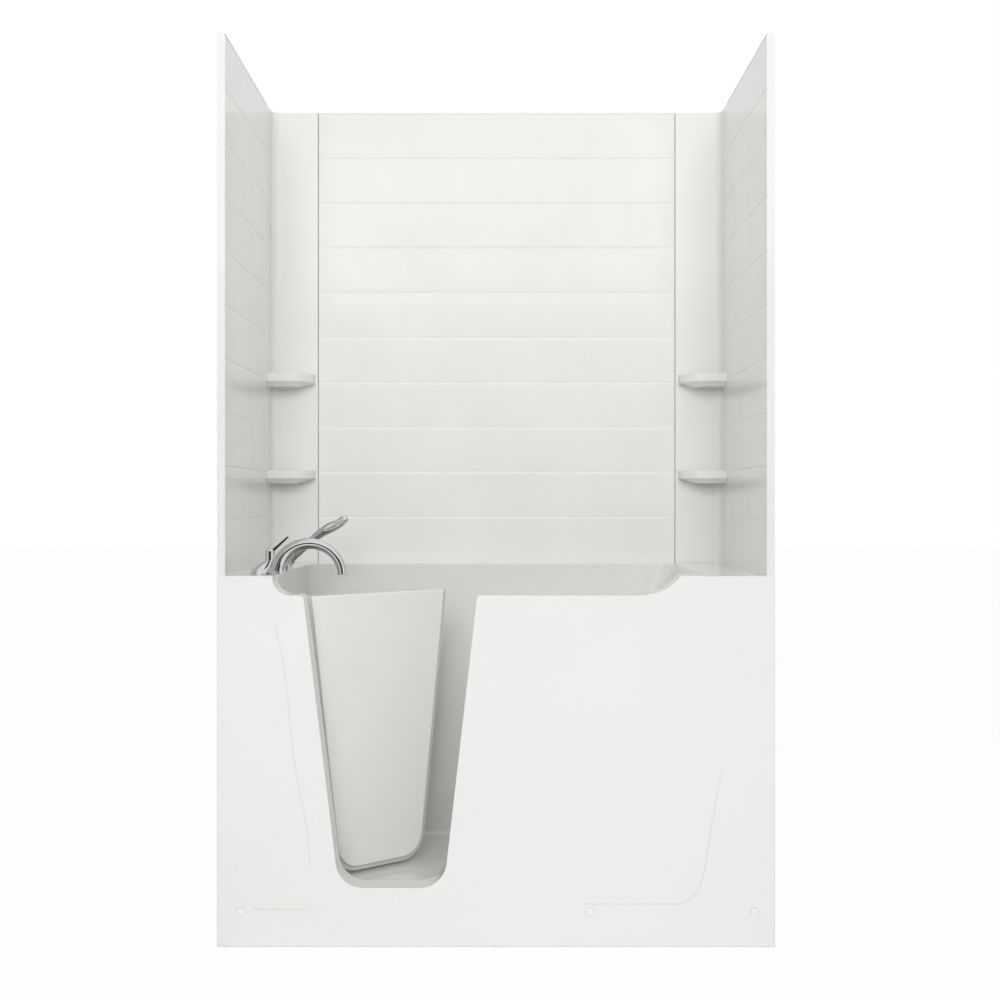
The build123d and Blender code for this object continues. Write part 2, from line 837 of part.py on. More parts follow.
save(swing(hinge_straps.part), "hinge_straps")

# Latch: rose on the liner, tongue with its spindle, lever, and the keeper on the jamb
with BuildPart() as latch_rose:
    disc(latch_axis, rose_r, 0, rose_thick)
    disc(latch_axis, spindle_r + running_gap, -slack, rose_thick + slack, Mode.SUBTRACT)
save(swing(latch_rose.part), "latch_rose")

tongue_low = rose_thick + slack
tongue_high = tongue_low + tongue_thick
with BuildPart() as latch_tongue:
    disc(latch_axis, spindle_r, -spindle_length, tongue_low)
    with BuildSketch(latch_axis.offset(tongue_low)):
        Circle(lever_hub_r)
        with Locations((0, -(tongue_reach - tongue_w / 2) / 2)):
            Rectangle(tongue_w, tongue_reach - tongue_w / 2)
        with Locations((0, -tongue_reach + tongue_w / 2)):
            Circle(tongue_w / 2)
    extrude(amount=tongue_thick)
save(swing(latch_tongue.part), "latch_tongue")

with BuildPart() as latch_lever:
    with BuildSketch(latch_axis.offset(tongue_high)):
        Circle(lever_hub_r)
    extrude(amount=lever_hub_h)
    with BuildSketch(latch_axis.offset(tongue_high + lever_hub_h / 2)):
        with Locations((lever_length / 2, 0)):
            Rectangle(lever_length, lever_w)
        with Locations((lever_length, 0)):
            Circle(lever_w / 2)
    extrude(amount=lever_hub_h / 2)
    fillet(latch_lever.faces().sort_by(Axis.Y)[-1].edges(), lever_edge_r)
save(swing(latch_lever.part), "latch_lever")

lip_front_y = door_liner_back_y + tongue_high + 1.0
with BuildPart() as latch_keeper:
    with BuildSketch(Plane.XY.offset(latch_z - keeper_half_h)):
        with BuildLine():
            Polyline(
                (keeper_x_low, jamb_y),
                (keeper_x_high, jamb_y),
                (keeper_x_high, lip_front_y + keeper_plate),
                (keeper_x_low + keeper_plate, lip_front_y + keeper_plate),
                (keeper_x_low + keeper_plate, lip_front_y),
                (keeper_x_high - keeper_post_w, lip_front_y),
                (keeper_x_high - keeper_post_w, jamb_y + keeper_plate),
                (keeper_x_low, jamb_y + keeper_plate),
                close=True,
            )
        make_face()
    extrude(amount=2 * keeper_half_h)
save(latch_keeper.part, "latch_keeper")

# Steel frame: rails butted round the base, bearers over them, posts and deck rails
rail_top_z = base_rail_z + tube
bearer_top_z = rail_top_z + tube
frame_x = half_width - frame_inset - tube / 2
rail_front_y = apron_back_y + tube / 2
rail_back_y = back_y - frame_inset - tube / 2
deck_rail_z = deck_z - shell_wall - tube
rail_middle_y = (rail_front_y + rail_back_y) / 2
rail_inner_length = rail_back_y - rail_front_y - tube


# Square tubes of one length on a level plane, each given by its middle
def bars(low_z, places, length_x, length_y, height):
    with BuildSketch(Plane.XY.offset(low_z)) as tops:
        with Locations(*places):
            Rectangle(length_x, length_y)
    extrude(tops.sketch, amount=height)


with BuildPart() as base_frame:
    rail_length = 2 * frame_x + tube
    bars(base_rail_z, [(0, rail_front_y), (0, rail_back_y)], rail_length, tube, tube)
    with BuildSketch(Plane.XZ.offset(-apron_back_y)):
        with Locations(*[(x, cap_z) for x in cap_xs]):
            Circle(screw_r + slack / 2)
    extrude(amount=-2 * tube, mode=Mode.SUBTRACT)
    side_places = [(-frame_x, rail_middle_y), (frame_x, rail_middle_y)]
    bars(base_rail_z, side_places, tube, rail_inner_length - 2 * rail_joint, tube)
save(base_frame.part, "base_frame")

with BuildPart() as floor_bearers:
    bearer_length = rail_back_y - rail_front_y + tube
    bars(rail_top_z, [(x, rail_middle_y) for x in bearer_xs], tube, bearer_length, tube)
save(floor_bearers.part, "floor_bearers")

with BuildPart() as frame_posts:
    corners = [(x, y) for x in (-frame_x, frame_x) for y in (rail_front_y, rail_back_y)]
    bars(rail_top_z, corners, tube, tube, deck_rail_z - rail_top_z - rail_joint)
    bars(rail_top_z, [(front_post_x, rail_front_y)], tube, tube, rim_z - shell_wall - rail_top_z)
    bars(deck_rail_z, [(-frame_x, rail_middle_y), (frame_x, rail_middle_y)], tube, bearer_length, tube)
    bars(deck_rail_z, [(0, rail_back_y)], 2 * frame_x - tube - 2 * rail_joint, tube, tube)
    seat_under_z = seat_z - shell_wall
    posts = [(x, y) for x in seat_post_xs for y in seat_post_ys]
    bars(bearer_top_z, posts, tube, tube, seat_under_z - tube - bearer_top_z - rail_joint)
    seat_mid_x = (seat_post_xs[0] + seat_post_xs[1]) / 2
    seat_bar_length = seat_post_xs[1] - seat_post_xs[0] + tube
    bars(seat_under_z - tube, [(seat_mid_x, y) for y in seat_post_ys], seat_bar_length, tube, tube)
save(frame_posts.part, "frame_posts")

with BuildPart() as levelling_feet:
    foot_ys = (rail_front_y + foot_inset, rail_back_y - foot_inset)
    places = [(x, y) for x in (-frame_x, 0, frame_x) for y in foot_ys]
    for radius, low, high in (
        (foot_pad_r, 0, foot_pad_h),
        (foot_stud_r, foot_pad_h, base_rail_z),
        (foot_nut_r, base_rail_z - foot_nut_h, base_rail_z),
    ):
        with BuildSketch(Plane.XY.offset(low)):
            with Locations(*places):
                Circle(radius)
        extrude(amount=high - low)
save(levelling_feet.part, "levelling_feet")

# Drain, stopper, overflow and waste pipe
floor_plane = Plane(origin=(drain_x, drain_y, 0))
flange_top_z = floor_z + drain_flange_h
with BuildPart() as drain_flange:
    disc(floor_plane, drain_flange_r, floor_z, flange_top_z)
    disc(floor_plane, drain_body_r, drain_body_z, floor_z)
    disc(floor_plane, drain_bore_r, drain_body_z, flange_top_z, Mode.SUBTRACT)
    with BuildSketch(Plane.XY.offset(drain_guide_z)):
        with Locations((drain_x, drain_y)):
            Rectangle(2 * drain_bore_r + 2, 4 * stopper_stem_r)
    extrude(amount=drain_guide_h)
    disc(floor_plane, stopper_stem_r + running_gap, drain_body_z, flange_top_z, Mode.SUBTRACT)
save(drain_flange.part, "drain_flange")

with BuildPart() as drain_stopper:
    disc(floor_plane, stopper_stem_r, drain_body_z + stopper_stem_r, flange_top_z + slack)
    disc(floor_plane, stopper_r, flange_top_z + slack, flange_top_z + slack + stopper_h)
    fillet(drain_stopper.faces().sort_by(Axis.Z)[-1].edges(), stopper_h / 2)
save(drain_stopper.part, "drain_stopper")

with BuildPart() as overflow_plate:
    disc(overflow_plane, overflow_r, 0, overflow_thick)
    fillet(overflow_plate.faces().sort_by(Axis.X)[-1].edges(), overflow_thick / 3)
    disc(overflow_plane, overflow_tube_r, -overflow_tube_length, 0)
    disc(overflow_plane, knob_spindle_r + running_gap, -overflow_tube_length, overflow_thick, Mode.SUBTRACT)
save(overflow_plate.part, "overflow_plate")

with BuildPart() as overflow_knob:
    disc(overflow_plane, knob_spindle_r, -overflow_tube_length / 2, overflow_thick + slack)
    disc(overflow_plane, overflow_knob_r, overflow_thick + slack, overflow_thick + slack + overflow_knob_h)
    with BuildSketch(overflow_plane.offset(overflow_thick + slack)):
        with PolarLocations(overflow_knob_r, grip_count):
            Circle(grip_r)
    extrude(amount=overflow_knob_h, mode=Mode.SUBTRACT)
save(overflow_knob.part, "overflow_knob")

with BuildPart() as waste_pipe:
    add(
        pipe(
            [
                (drain_x, drain_y, drain_body_z),
                (drain_x, drain_y, waste_z),
                (waste_x, drain_y, waste_z),
                (waste_x, drain_y, overflow_z),
            ],
            waste_r,
        )
    )
    outlet_plane = Plane(origin=(waste_x, drain_y, 0))
    disc(outlet_plane, waste_r, waste_outlet_z, waste_z)
    disc(outlet_plane, waste_r + waste_tee_wall, waste_z - waste_r, waste_z + waste_r)
save(waste_pipe.part, "waste_pipe")

# Jet pump on its bracket
pump_axis = Plane(origin=(wet_end_x, pump_y, pump_z), x_dir=(0, 1, 0), z_dir=(1, 0, 0))
motor_low = wet_end_length
motor_high = wet_end_length + motor_length
with BuildPart() as pump_wet_end:
    disc(pump_axis, wet_end_r, 0, wet_end_length)
    fillet(pump_wet_end.edges().filter_by(GeomType.CIRCLE), wet_end_wall)
    disc(pump_axis, suction_r, -wet_end_nose, 0)
    with BuildSketch(Plane(origin=(wet_end_x + wet_end_length / 2, pump_y, pump_z))):
        Circle(water_r)
    extrude(amount=wet_end_r + wet_end_nose)
    disc(pump_axis, wet_end_r - wet_end_wall, wet_end_wall, wet_end_length - wet_end_wall, Mode.SUBTRACT)
    disc(pump_axis, suction_r - wet_end_wall / 2, -wet_end_nose, wet_end_wall, Mode.SUBTRACT)
    disc(pump_axis, pump_shaft_r + running_gap, wet_end_wall, wet_end_length, Mode.SUBTRACT)
save(pump_wet_end.part, "pump_wet_end")

with BuildPart() as pump_impeller:
    wheel_low = (wet_end_length - impeller_w) / 2
    disc(pump_axis, impeller_r, wheel_low + impeller_w - impeller_disc, wheel_low + impeller_w)
    with BuildSketch(pump_axis.offset(wheel_low)):
        with PolarLocations((impeller_r + pump_shaft_r) / 2, impeller_blades):
            Rectangle(impeller_r - pump_shaft_r - 2, impeller_blade_w)
    extrude(amount=impeller_w - impeller_disc)
    disc(pump_axis, 2 * pump_shaft_r, wheel_low, wheel_low + impeller_w)
    disc(pump_axis, pump_shaft_r, wheel_low, motor_low + motor_shaft_deep)
save(pump_impeller.part, "pump_impeller")

with BuildPart() as pump_motor:
    disc(pump_axis, motor_r, motor_low, motor_high)
    fillet(pump_motor.faces().sort_by(Axis.X)[-1].edges(), wet_end_wall)
    with BuildSketch(pump_axis.offset(motor_low + wet_end_wall)):
        with PolarLocations(motor_r, motor_fins):
            Rectangle(motor_fin_deep * 2, motor_fin_w)
    extrude(amount=motor_length - 3 * wet_end_wall, mode=Mode.SUBTRACT)
    shaft_end = motor_low + motor_shaft_deep + slack
    disc(pump_axis, pump_shaft_r + running_gap, motor_low, shaft_end, Mode.SUBTRACT)
    with BuildSketch(Plane(origin=(wet_end_x + motor_low + motor_length / 2, pump_y, pump_z))):
        Rectangle(motor_length / 2, motor_box_w)
    extrude(amount=motor_r + motor_box_h)
save(pump_motor.part, "pump_motor")

with BuildPart() as pump_bracket:
    plate_x = (bearer_xs[-2] + bearer_xs[-1]) / 2
    plate_length = bearer_xs[-1] - bearer_xs[-2] + tube
    bars(bearer_top_z, [(plate_x, pump_y)], plate_length, bracket_width, bracket_thick)
    saddle_x = wet_end_x + motor_low + motor_length / 2
    saddle_low = bearer_top_z + bracket_thick
    bars(saddle_low, [(saddle_x, pump_y)], motor_length / 2, saddle_w, pump_z - saddle_drop - saddle_low)
    disc(pump_axis, motor_r + running_gap, motor_low, motor_high, Mode.SUBTRACT)
save(pump_bracket.part, "pump_bracket")

with BuildPart() as suction_fitting:
    disc(suction_plane, suction_grille_r, 0, suction_grille_h)
    fillet(suction_fitting.faces().sort_by(Axis.X)[0].edges(), suction_grille_h / 3)
    disc(suction_plane, suction_throat_r, -suction_depth, 0)
    with BuildSketch(suction_plane.offset(suction_grille_h)):
        with GridLocations(grille_pitch, grille_pitch, grille_count, grille_count):
            Circle(grille_hole_r)
    extrude(amount=-2 * suction_grille_h, mode=Mode.SUBTRACT)
save(suction_fitting.part, "suction_fitting")

with BuildPart() as suction_pipe:
    suction_end_x = suction_plane.origin.X + suction_depth
    add(pipe([(suction_end_x, pump_y, pump_z), (wet_end_x - wet_end_nose, pump_y, pump_z)], suction_r))
save(suction_pipe.part, "suction_pipe")


# Jets: a body through the wall and a turning nozzle in its throat
def jet_stub_end(plane):
    return plane.origin - plane.z_dir * jet_stub_length


def jet_air_end(plane):
    return plane.origin - plane.z_dir * jet_air_back + plane.y_dir * jet_air_up


with BuildPart() as jet_bodies:
    for plane in jet_planes:
        disc(plane, jet_flange_r, 0, jet_flange_h)
        disc(plane, jet_tube_r, -jet_tube_length, 0)
        disc(plane, jet_nut_r, -shell_wall - jet_nut_h, -shell_wall)
        disc(plane, jet_stub_r, -jet_stub_length + water_r - stub_bite, -jet_tube_length)
        air_base = Plane(origin=plane.origin - plane.z_dir * jet_air_back, z_dir=plane.y_dir)
        disc(air_base, air_r - 1, 0, jet_air_up - air_r + stub_bite)
        disc(plane, jet_throat_r, -jet_nozzle_deep, jet_flange_h, Mode.SUBTRACT)
        disc(plane, jet_stub_r - 2, -jet_tube_length, 0, Mode.SUBTRACT)
save(jet_bodies.part, "jet_bodies")

for number, plane in enumerate(jet_planes, start=1):
    with BuildPart() as jet_nozzle:
        disc(plane, jet_throat_r - slack, -jet_nozzle_deep + slack, jet_flange_h + nozzle_proud)
        rings = jet_nozzle.edges().filter_by(GeomType.CIRCLE)
        fillet(rings.sort_by_distance(plane.origin + plane.z_dir * jet_tube_length)[0], nozzle_edge_r)
        disc(plane, jet_bore_r, -jet_nozzle_deep, jet_flange_h + nozzle_proud, Mode.SUBTRACT)
        with BuildSketch(plane.offset(jet_flange_h + nozzle_proud)):
            with PolarLocations(jet_throat_r - nozzle_slot_w, nozzle_slots):
                Rectangle(nozzle_slot_w, nozzle_slot_w)
        extrude(amount=-nozzle_slot_deep, mode=Mode.SUBTRACT)
    save(jet_nozzle.part, f"jet_nozzle_{number}")

low_ends = [jet_stub_end(plane) for plane in jet_planes[:2]]
high_ends = [jet_stub_end(plane) for plane in jet_planes[2:4]]
rest_ends = [jet_stub_end(plane) for plane in jet_planes[4:]]
pump_top = Vector(wet_end_x + wet_end_length / 2, pump_y, pump_z + wet_end_r + wet_end_nose)
with BuildPart() as water_manifold:
    low_start = low_ends[0]
    high_start = high_ends[0]
    rest_end = rest_ends[0]
    add(
        bent_pipe(
            (
                tuple(low_start),
                (pump_top.X, low_start.Y, low_start.Z),
                (pump_top.X, pump_y, low_start.Z),
                tuple(pump_top),
            ),
            water_r,
            water_low_bend,
        )
    )
    add(
        bent_pipe(
            (
                tuple(high_start),
                (rest_end.X, high_start.Y, rest_end.Z),
                (rest_end.X, rest_end.Y, rest_end.Z),
            ),
            water_r,
            water_high_bend,
        )
    )
    add(
        pipe(
            [
                (water_riser_x, low_start.Y, low_start.Z),
                (water_riser_x, high_start.Y, high_start.Z),
            ],
            water_r - 1,
        )
    )
save(water_manifold.part, "water_manifold")

low_air = [jet_air_end(plane) for plane in jet_planes[:2]]
high_air = [jet_air_end(plane) for plane in jet_planes[2:4]]
rest_air = [jet_air_end(plane) for plane in jet_planes[4:]]
with BuildPart() as air_manifold:
    add(
        pipe(
            [
                tuple(low_air[0]),
                (air_riser_x, low_air[0].Y, low_air[0].Z),
                (air_riser_x, high_air[0].Y, high_air[0].Z),
                tuple(high_air[0]),
            ],
            air_r,
        )
    )
    add(
        pipe(
            [
                (air_riser_x, high_air[0].Y, high_air[0].Z),
                (rest_air[0].X, high_air[0].Y, rest_air[0].Z),
                (rest_air[0].X, rest_air[0].Y, rest_air[0].Z),
            ],
            air_r,
        )
    )
save(air_manifold.part, "air_manifold")

# Controls on the front wall
with BuildPart() as air_control:
    disc(air_control_plane, control_flange_r, 0, jet_flange_h)
    disc(air_control_plane, control_tube_r, -control_depth, 0)
    disc(air_control_plane, knob_spindle_r + running_gap, -control_depth / 2, jet_flange_h, Mode.SUBTRACT)
save(air_control.part, "air_control")

with BuildPart() as air_knob:
    disc(air_control_plane, knob_spindle_r, -control_depth / 3, jet_flange_h + slack)
    disc(air_control_plane, air_knob_r, jet_flange_h + slack, jet_flange_h + slack + air_knob_h)
    with BuildSketch(air_control_plane.offset(jet_flange_h + slack)):
        with PolarLocations(air_knob_r, grip_count):
            Circle(grip_r)
    extrude(amount=air_knob_h, mode=Mode.SUBTRACT)
save(air_knob.part, "air_knob")

with BuildPart() as button_bezel:
    disc(pump_button_plane, control_flange_r, 0, jet_flange_h)
    disc(pump_button_plane, control_tube_r, -control_depth, 0)
    disc(pump_button_plane, button_r + slack, -control_depth / 2, jet_flange_h, Mode.SUBTRACT)
save(button_bezel.part, "button_bezel")

with BuildPart() as pump_button:
    button_low = -control_depth / 2 + button_travel + slack
    disc(pump_button_plane, button_r, button_low, jet_flange_h + button_travel)
    fillet(pump_button.faces().sort_by(Axis.Y)[-1].edges(), button_travel / 2)
save(pump_button.part, "pump_button")


# A tapering round rod through sections of centre, direction and two half widths
def tapered(y, sections):
    faces = []
    for x, z, along_x, along_z, wide, thick in sections:
        level = Plane(origin=(x, y, z), x_dir=(0, 1, 0), z_dir=(along_x, 0, along_z))
        with BuildSketch(level) as section:
            Ellipse(wide, thick)
        faces.append(section.sketch.face())
    with BuildPart() as rod:
        loft(faces)
    return rod.part


# Tub spout: an elliptical arc that narrows from its root, with a shank through the deck
def spout_section(share):
    angle = spout_root_angle * (1 - share)
    radius = spout_tip_r + (spout_body_r - spout_tip_r) * (1 - share)
    radius += spout_flare * (1 - share) ** spout_flare_power
    return (
        spout_x + spout_half_span * (1 + cos(angle)),
        deck_z - spout_drop + spout_rise * sin(angle),
        spout_half_span * sin(angle) * min(1, share * spout_steps),
        -spout_rise * cos(angle),
        radius,
        radius,
    )


spout_root_angle = pi - asin(spout_drop / spout_rise)
spout_sections = [spout_section(step / spout_steps) for step in range(spout_steps + 1)]
with BuildPart() as spout:
    add(tapered(spout_y, spout_sections))
    disc(Plane(origin=(spout_x, spout_y, 0)), shank_r, shank_low_z, deck_z)
    tip = Plane(origin=(spout_x + 2 * spout_half_span, spout_y, deck_z - spout_drop))
    disc(tip, spout_mouth_r, 0, spout_mouth_deep, Mode.SUBTRACT)
save(spout.part, "spout")


# Lever mixer: leaning bell, turning hub and a blade that tips in the hub's slot
def bell_section(share):
    radius = bell_neck_r + (bell_root_r - bell_neck_r) * (1 - share) ** 2
    return (
        mixer_x + (hub_x - mixer_x) * share**2 * (3 - 2 * share),
        deck_z + (hub_low_z - deck_z) * share,
        6 * (hub_x - mixer_x) * share * (1 - share),
        hub_low_z - deck_z,
        radius,
        radius,
    )


bell_sections = [bell_section(step / bell_steps) for step in range(bell_steps + 1)]
hub_plane = Plane(origin=(hub_x, mixer_y, 0))
with BuildPart() as mixer_base:
    add(tapered(mixer_y, bell_sections))
save(mixer_base.part, "mixer_base")

with BuildPart() as mixer_hub:
    disc(hub_plane, hub_r, hub_low_z + slack, hub_low_z + hub_h)
    fillet(mixer_hub.faces().sort_by(Axis.Z)[-1].edges(), hub_r / 2)
    with BuildSketch(Plane.XZ.offset(-mixer_y)):
        with Locations((hub_x, blade_pivot_z)):
            Circle(blade_root_r + slack)
        with Locations((hub_x + hub_r, blade_pivot_z + hub_r)):
            Rectangle(2 * hub_r, 2 * hub_r)
        with Locations((hub_x, blade_pivot_z + hub_r)):
            Rectangle(2 * blade_root_r + 2 * slack, 2 * hub_r)
    extrude(amount=blade_w / 2 + blade_side_gap, both=True, mode=Mode.SUBTRACT)
    with BuildSketch(Plane.XZ.offset(-mixer_y)):
        with Locations((hub_x, blade_pivot_z)):
            Circle(blade_pin_r + running_gap)
    extrude(amount=2 * hub_r, both=True, mode=Mode.SUBTRACT)
save(mixer_hub.part, "mixer_hub")

with BuildPart() as mixer_blade:
    with BuildSketch(Plane.XZ.offset(-mixer_y)):
        with Locations((hub_x, blade_pivot_z)):
            Circle(blade_root_r)
    extrude(amount=blade_w / 2, both=True)
    with BuildSketch(Plane.XZ.offset(-mixer_y)):
        with Locations((hub_x, blade_pivot_z)):
            Circle(blade_pin_r)
    extrude(amount=blade_pin_half, both=True)
    reach = Vector(blade_tip_x - hub_x, 0, blade_tip_z - blade_pivot_z)
    aim = reach.normalized()
    blade_start = Plane(origin=(hub_x, mixer_y, blade_pivot_z), x_dir=(0, 1, 0), z_dir=aim)
    with BuildSketch(blade_start.offset(blade_root_r / 2)) as root_face:
        Rectangle(blade_w, blade_root_r)
    with BuildSketch(blade_start.offset(reach.length)) as tip_face:
        Rectangle(blade_tip_w, blade_tip_thick)
    loft([root_face.sketch.face(), tip_face.sketch.face()], ruled=True)
save(mixer_blade.part, "mixer_blade")

# Diverter and hand shower holder
diverter_plane = Plane(origin=(diverter_x, diverter_y, 0))
collar_top_z = deck_z + collar_h
with BuildPart() as diverter_collar:
    disc(diverter_plane, collar_r, deck_z, collar_top_z)
    fillet(diverter_collar.faces().sort_by(Axis.Z)[-1].edges(), collar_h / 3)
    disc(diverter_plane, shank_r, shank_low_z, deck_z)
    disc(diverter_plane, knob_spindle_r + running_gap, shank_low_z + collar_h, collar_top_z, Mode.SUBTRACT)
save(diverter_collar.part, "diverter_collar")

with BuildPart() as diverter_knob:
    disc(diverter_plane, knob_spindle_r, deck_z - collar_h, collar_top_z + slack)
    disc(diverter_plane, diverter_knob_r, collar_top_z + slack, collar_top_z + slack + diverter_knob_h)
    fillet(diverter_knob.faces().sort_by(Axis.Z)[-1].edges(), diverter_knob_r / 4)
    with BuildSketch(Plane.XY.offset(collar_top_z + slack + diverter_knob_h - 2 * grip_r)):
        with Locations((diverter_x + diverter_knob_r, diverter_y)):
            Rectangle(2 * diverter_knob_r, grip_r)
    extrude(amount=4 * grip_r, mode=Mode.SUBTRACT)
save(diverter_knob.part, "diverter_knob")

wand_aim_x = cos(radians(wand_angle))
wand_aim_z = sin(radians(wand_angle))
wand_plane = Plane(
    origin=(wand_start[0], holder_y, wand_start[1]),
    x_dir=(0, 1, 0),
    z_dir=(wand_aim_x, 0, wand_aim_z),
)
with BuildPart() as hand_shower_holder:
    holder_plane = Plane(origin=(holder_x, holder_y, 0))
    disc(wand_plane, wand_r + holder_wall, -holder_floor, holder_deep)
    disc(holder_plane, collar_r, deck_z, deck_z + collar_h)
    with BuildSketch(Plane.XY.offset(deck_z)):
        Rectangle(2 * tub_width, 2 * tub_depth)
    extrude(amount=-tub_depth, mode=Mode.SUBTRACT)
    disc(holder_plane, shank_r, shank_low_z, deck_z)
    disc(wand_plane, wand_r + wand_bore_gap, -slack, 2 * holder_deep, Mode.SUBTRACT)
save(hand_shower_holder.part, "hand_shower_holder")

wand_knee = wand_plane.origin + wand_plane.z_dir * wand_straight


# A section of the spray head, which turns level as it widens and then closes
def head_section(share):
    turn = radians(wand_angle - (wand_angle - head_angle) * min(1, head_turn * share))
    middle = radians((wand_angle + degrees(turn)) / 2)
    swell = sin(pi / 2 * min(1, head_turn * share))
    close = head_close if share == 1 else 1
    return (
        wand_knee.X + head_length * share * cos(middle),
        wand_knee.Z + head_length * share * sin(middle),
        cos(turn),
        sin(turn),
        (wand_r + (head_half_w - wand_r) * swell) * close,
        (wand_r + (head_half_h - wand_r) * swell) * close,
    )


hand_shower_sections = [head_section(step / head_steps) for step in range(head_steps + 1)]
with BuildPart() as hand_shower:
    disc(wand_plane, wand_r, 0, wand_straight)
    add(tapered(holder_y, hand_shower_sections))
save(hand_shower.part, "hand_shower")

# Below the deck: mixing valve, crossover pipe and nuts
with BuildPart() as mixing_valve:
    valve_axis = Plane(origin=(mixer_x, mixer_y, valve_z), x_dir=(1, 0, 0), z_dir=(0, 1, 0))
    disc(valve_axis, valve_r, -valve_half, valve_half)
    disc(Plane(origin=(mixer_x, mixer_y, 0)), shank_r, valve_z, deck_z)
    for offset_y in (-inlet_offset, inlet_offset):
        inlet_plane = Plane(origin=(mixer_x, mixer_y + offset_y, 0))
        disc(inlet_plane, inlet_r, inlet_low_z, valve_z)
        disc(inlet_plane, inlet_r + inlet_collar, inlet_low_z + inlet_length, valve_z)
save(mixing_valve.part, "mixing_valve")

with BuildPart() as crossover_pipe:
    add(
        pipe(
            [
                (mixer_x, mixer_y + valve_half, shank_low_z),
                (spout_x, spout_y, shank_low_z),
                (diverter_x, diverter_y, shank_low_z),
                (holder_x, holder_y, shank_low_z),
            ],
            crossover_r,
        )
    )
save(crossover_pipe.part, "crossover_pipe")

with BuildPart() as deck_nuts:
    with BuildSketch(Plane.XY.offset(deck_z - shell_wall - deck_nut_h)):
        with Locations(*fittings):
            RegularPolygon(deck_nut_r, 6)
            Circle(shank_r + running_gap, mode=Mode.SUBTRACT)
    extrude(amount=deck_nut_h)
save(deck_nuts.part, "deck_nuts")
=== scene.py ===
import json
from math import cos, pi, radians, sin

import bmesh
import bpy
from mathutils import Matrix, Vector


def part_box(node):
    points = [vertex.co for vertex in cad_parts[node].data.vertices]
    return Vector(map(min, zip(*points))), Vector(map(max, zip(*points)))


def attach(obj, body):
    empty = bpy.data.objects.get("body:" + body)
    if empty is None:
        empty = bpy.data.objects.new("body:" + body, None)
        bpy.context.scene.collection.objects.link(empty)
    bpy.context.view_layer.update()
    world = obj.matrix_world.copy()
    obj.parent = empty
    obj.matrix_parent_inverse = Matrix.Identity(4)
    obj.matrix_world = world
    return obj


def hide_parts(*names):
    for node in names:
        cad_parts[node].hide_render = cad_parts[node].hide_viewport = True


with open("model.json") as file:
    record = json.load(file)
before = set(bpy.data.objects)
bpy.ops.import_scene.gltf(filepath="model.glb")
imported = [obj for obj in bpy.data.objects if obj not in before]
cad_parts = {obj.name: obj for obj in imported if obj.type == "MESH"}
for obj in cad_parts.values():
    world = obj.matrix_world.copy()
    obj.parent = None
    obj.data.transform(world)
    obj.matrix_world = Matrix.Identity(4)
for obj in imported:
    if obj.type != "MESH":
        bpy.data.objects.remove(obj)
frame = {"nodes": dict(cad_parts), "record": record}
nodes = frame["nodes"]
scene = bpy.context.scene
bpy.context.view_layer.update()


# Materials: each has a drifting colour, an uneven gloss and a fine relief, in object space
def linear(value):
    return value / 12.92 if value <= 0.04045 else ((value + 0.055) / 1.055) ** 2.4


def colour(red, green, blue):
    return (linear(red / 255), linear(green / 255), linear(blue / 255), 1.0)


def material(name, low, high, rough, metallic=0.0, scale=6.0, bump=0.02, grain=120.0, coat=0.0, stretch=(1, 1, 1),
             edge=0.0):
    made = bpy.data.materials.new(name)
    made.use_nodes = True
    tree = made.node_tree
    shader = tree.nodes["Principled BSDF"]
    shader.inputs["Metallic"].default_value = metallic
    shader.inputs["Coat Weight"].default_value = coat
    shader.inputs["Coat Roughness"].default_value = 0.06
    place = tree.nodes.new("ShaderNodeTexCoord")
    shape = tree.nodes.new("ShaderNodeMapping")
    shape.inputs["Scale"].default_value = stretch
    tree.links.new(place.outputs["Object"], shape.inputs["Vector"])

    drift = tree.nodes.new("ShaderNodeTexNoise")
    drift.inputs["Scale"].default_value = scale
    drift.inputs["Detail"].default_value = 3.0
    tree.links.new(shape.outputs["Vector"], drift.inputs["Vector"])
    ramp = tree.nodes.new("ShaderNodeValToRGB")
    ramp.color_ramp.elements[0].position = 0.3
    ramp.color_ramp.elements[0].color = low
    ramp.color_ramp.elements[1].position = 0.7
    ramp.color_ramp.elements[1].color = high
    tree.links.new(drift.outputs["Fac"], ramp.inputs["Fac"])
    tree.links.new(ramp.outputs["Color"], shader.inputs["Base Color"])

    gloss = tree.nodes.new("ShaderNodeMapRange")
    gloss.inputs["To Min"].default_value = rough[0]
    gloss.inputs["To Max"].default_value = rough[1]
    fine = tree.nodes.new("ShaderNodeTexNoise")
    fine.inputs["Scale"].default_value = grain
    fine.inputs["Detail"].default_value = 4.0
    tree.links.new(shape.outputs["Vector"], fine.inputs["Vector"])
    tree.links.new(fine.outputs["Fac"], gloss.inputs["Value"])
    tree.links.new(gloss.outputs["Result"], shader.inputs["Roughness"])

    relief = tree.nodes.new("ShaderNodeBump")
    relief.inputs["Strength"].default_value = 0.25
    relief.inputs["Distance"].default_value = bump * 0.01
    tree.links.new(fine.outputs["Fac"], relief.inputs["Height"])
    if edge:
        soft_edge = tree.nodes.new("ShaderNodeBevel")
        soft_edge.samples = 6
        soft_edge.inputs["Radius"].default_value = edge
        tree.links.new(soft_edge.outputs["Normal"], relief.inputs["Normal"])
    tree.links.new(relief.outputs["Normal"], shader.inputs["Normal"])
    return made


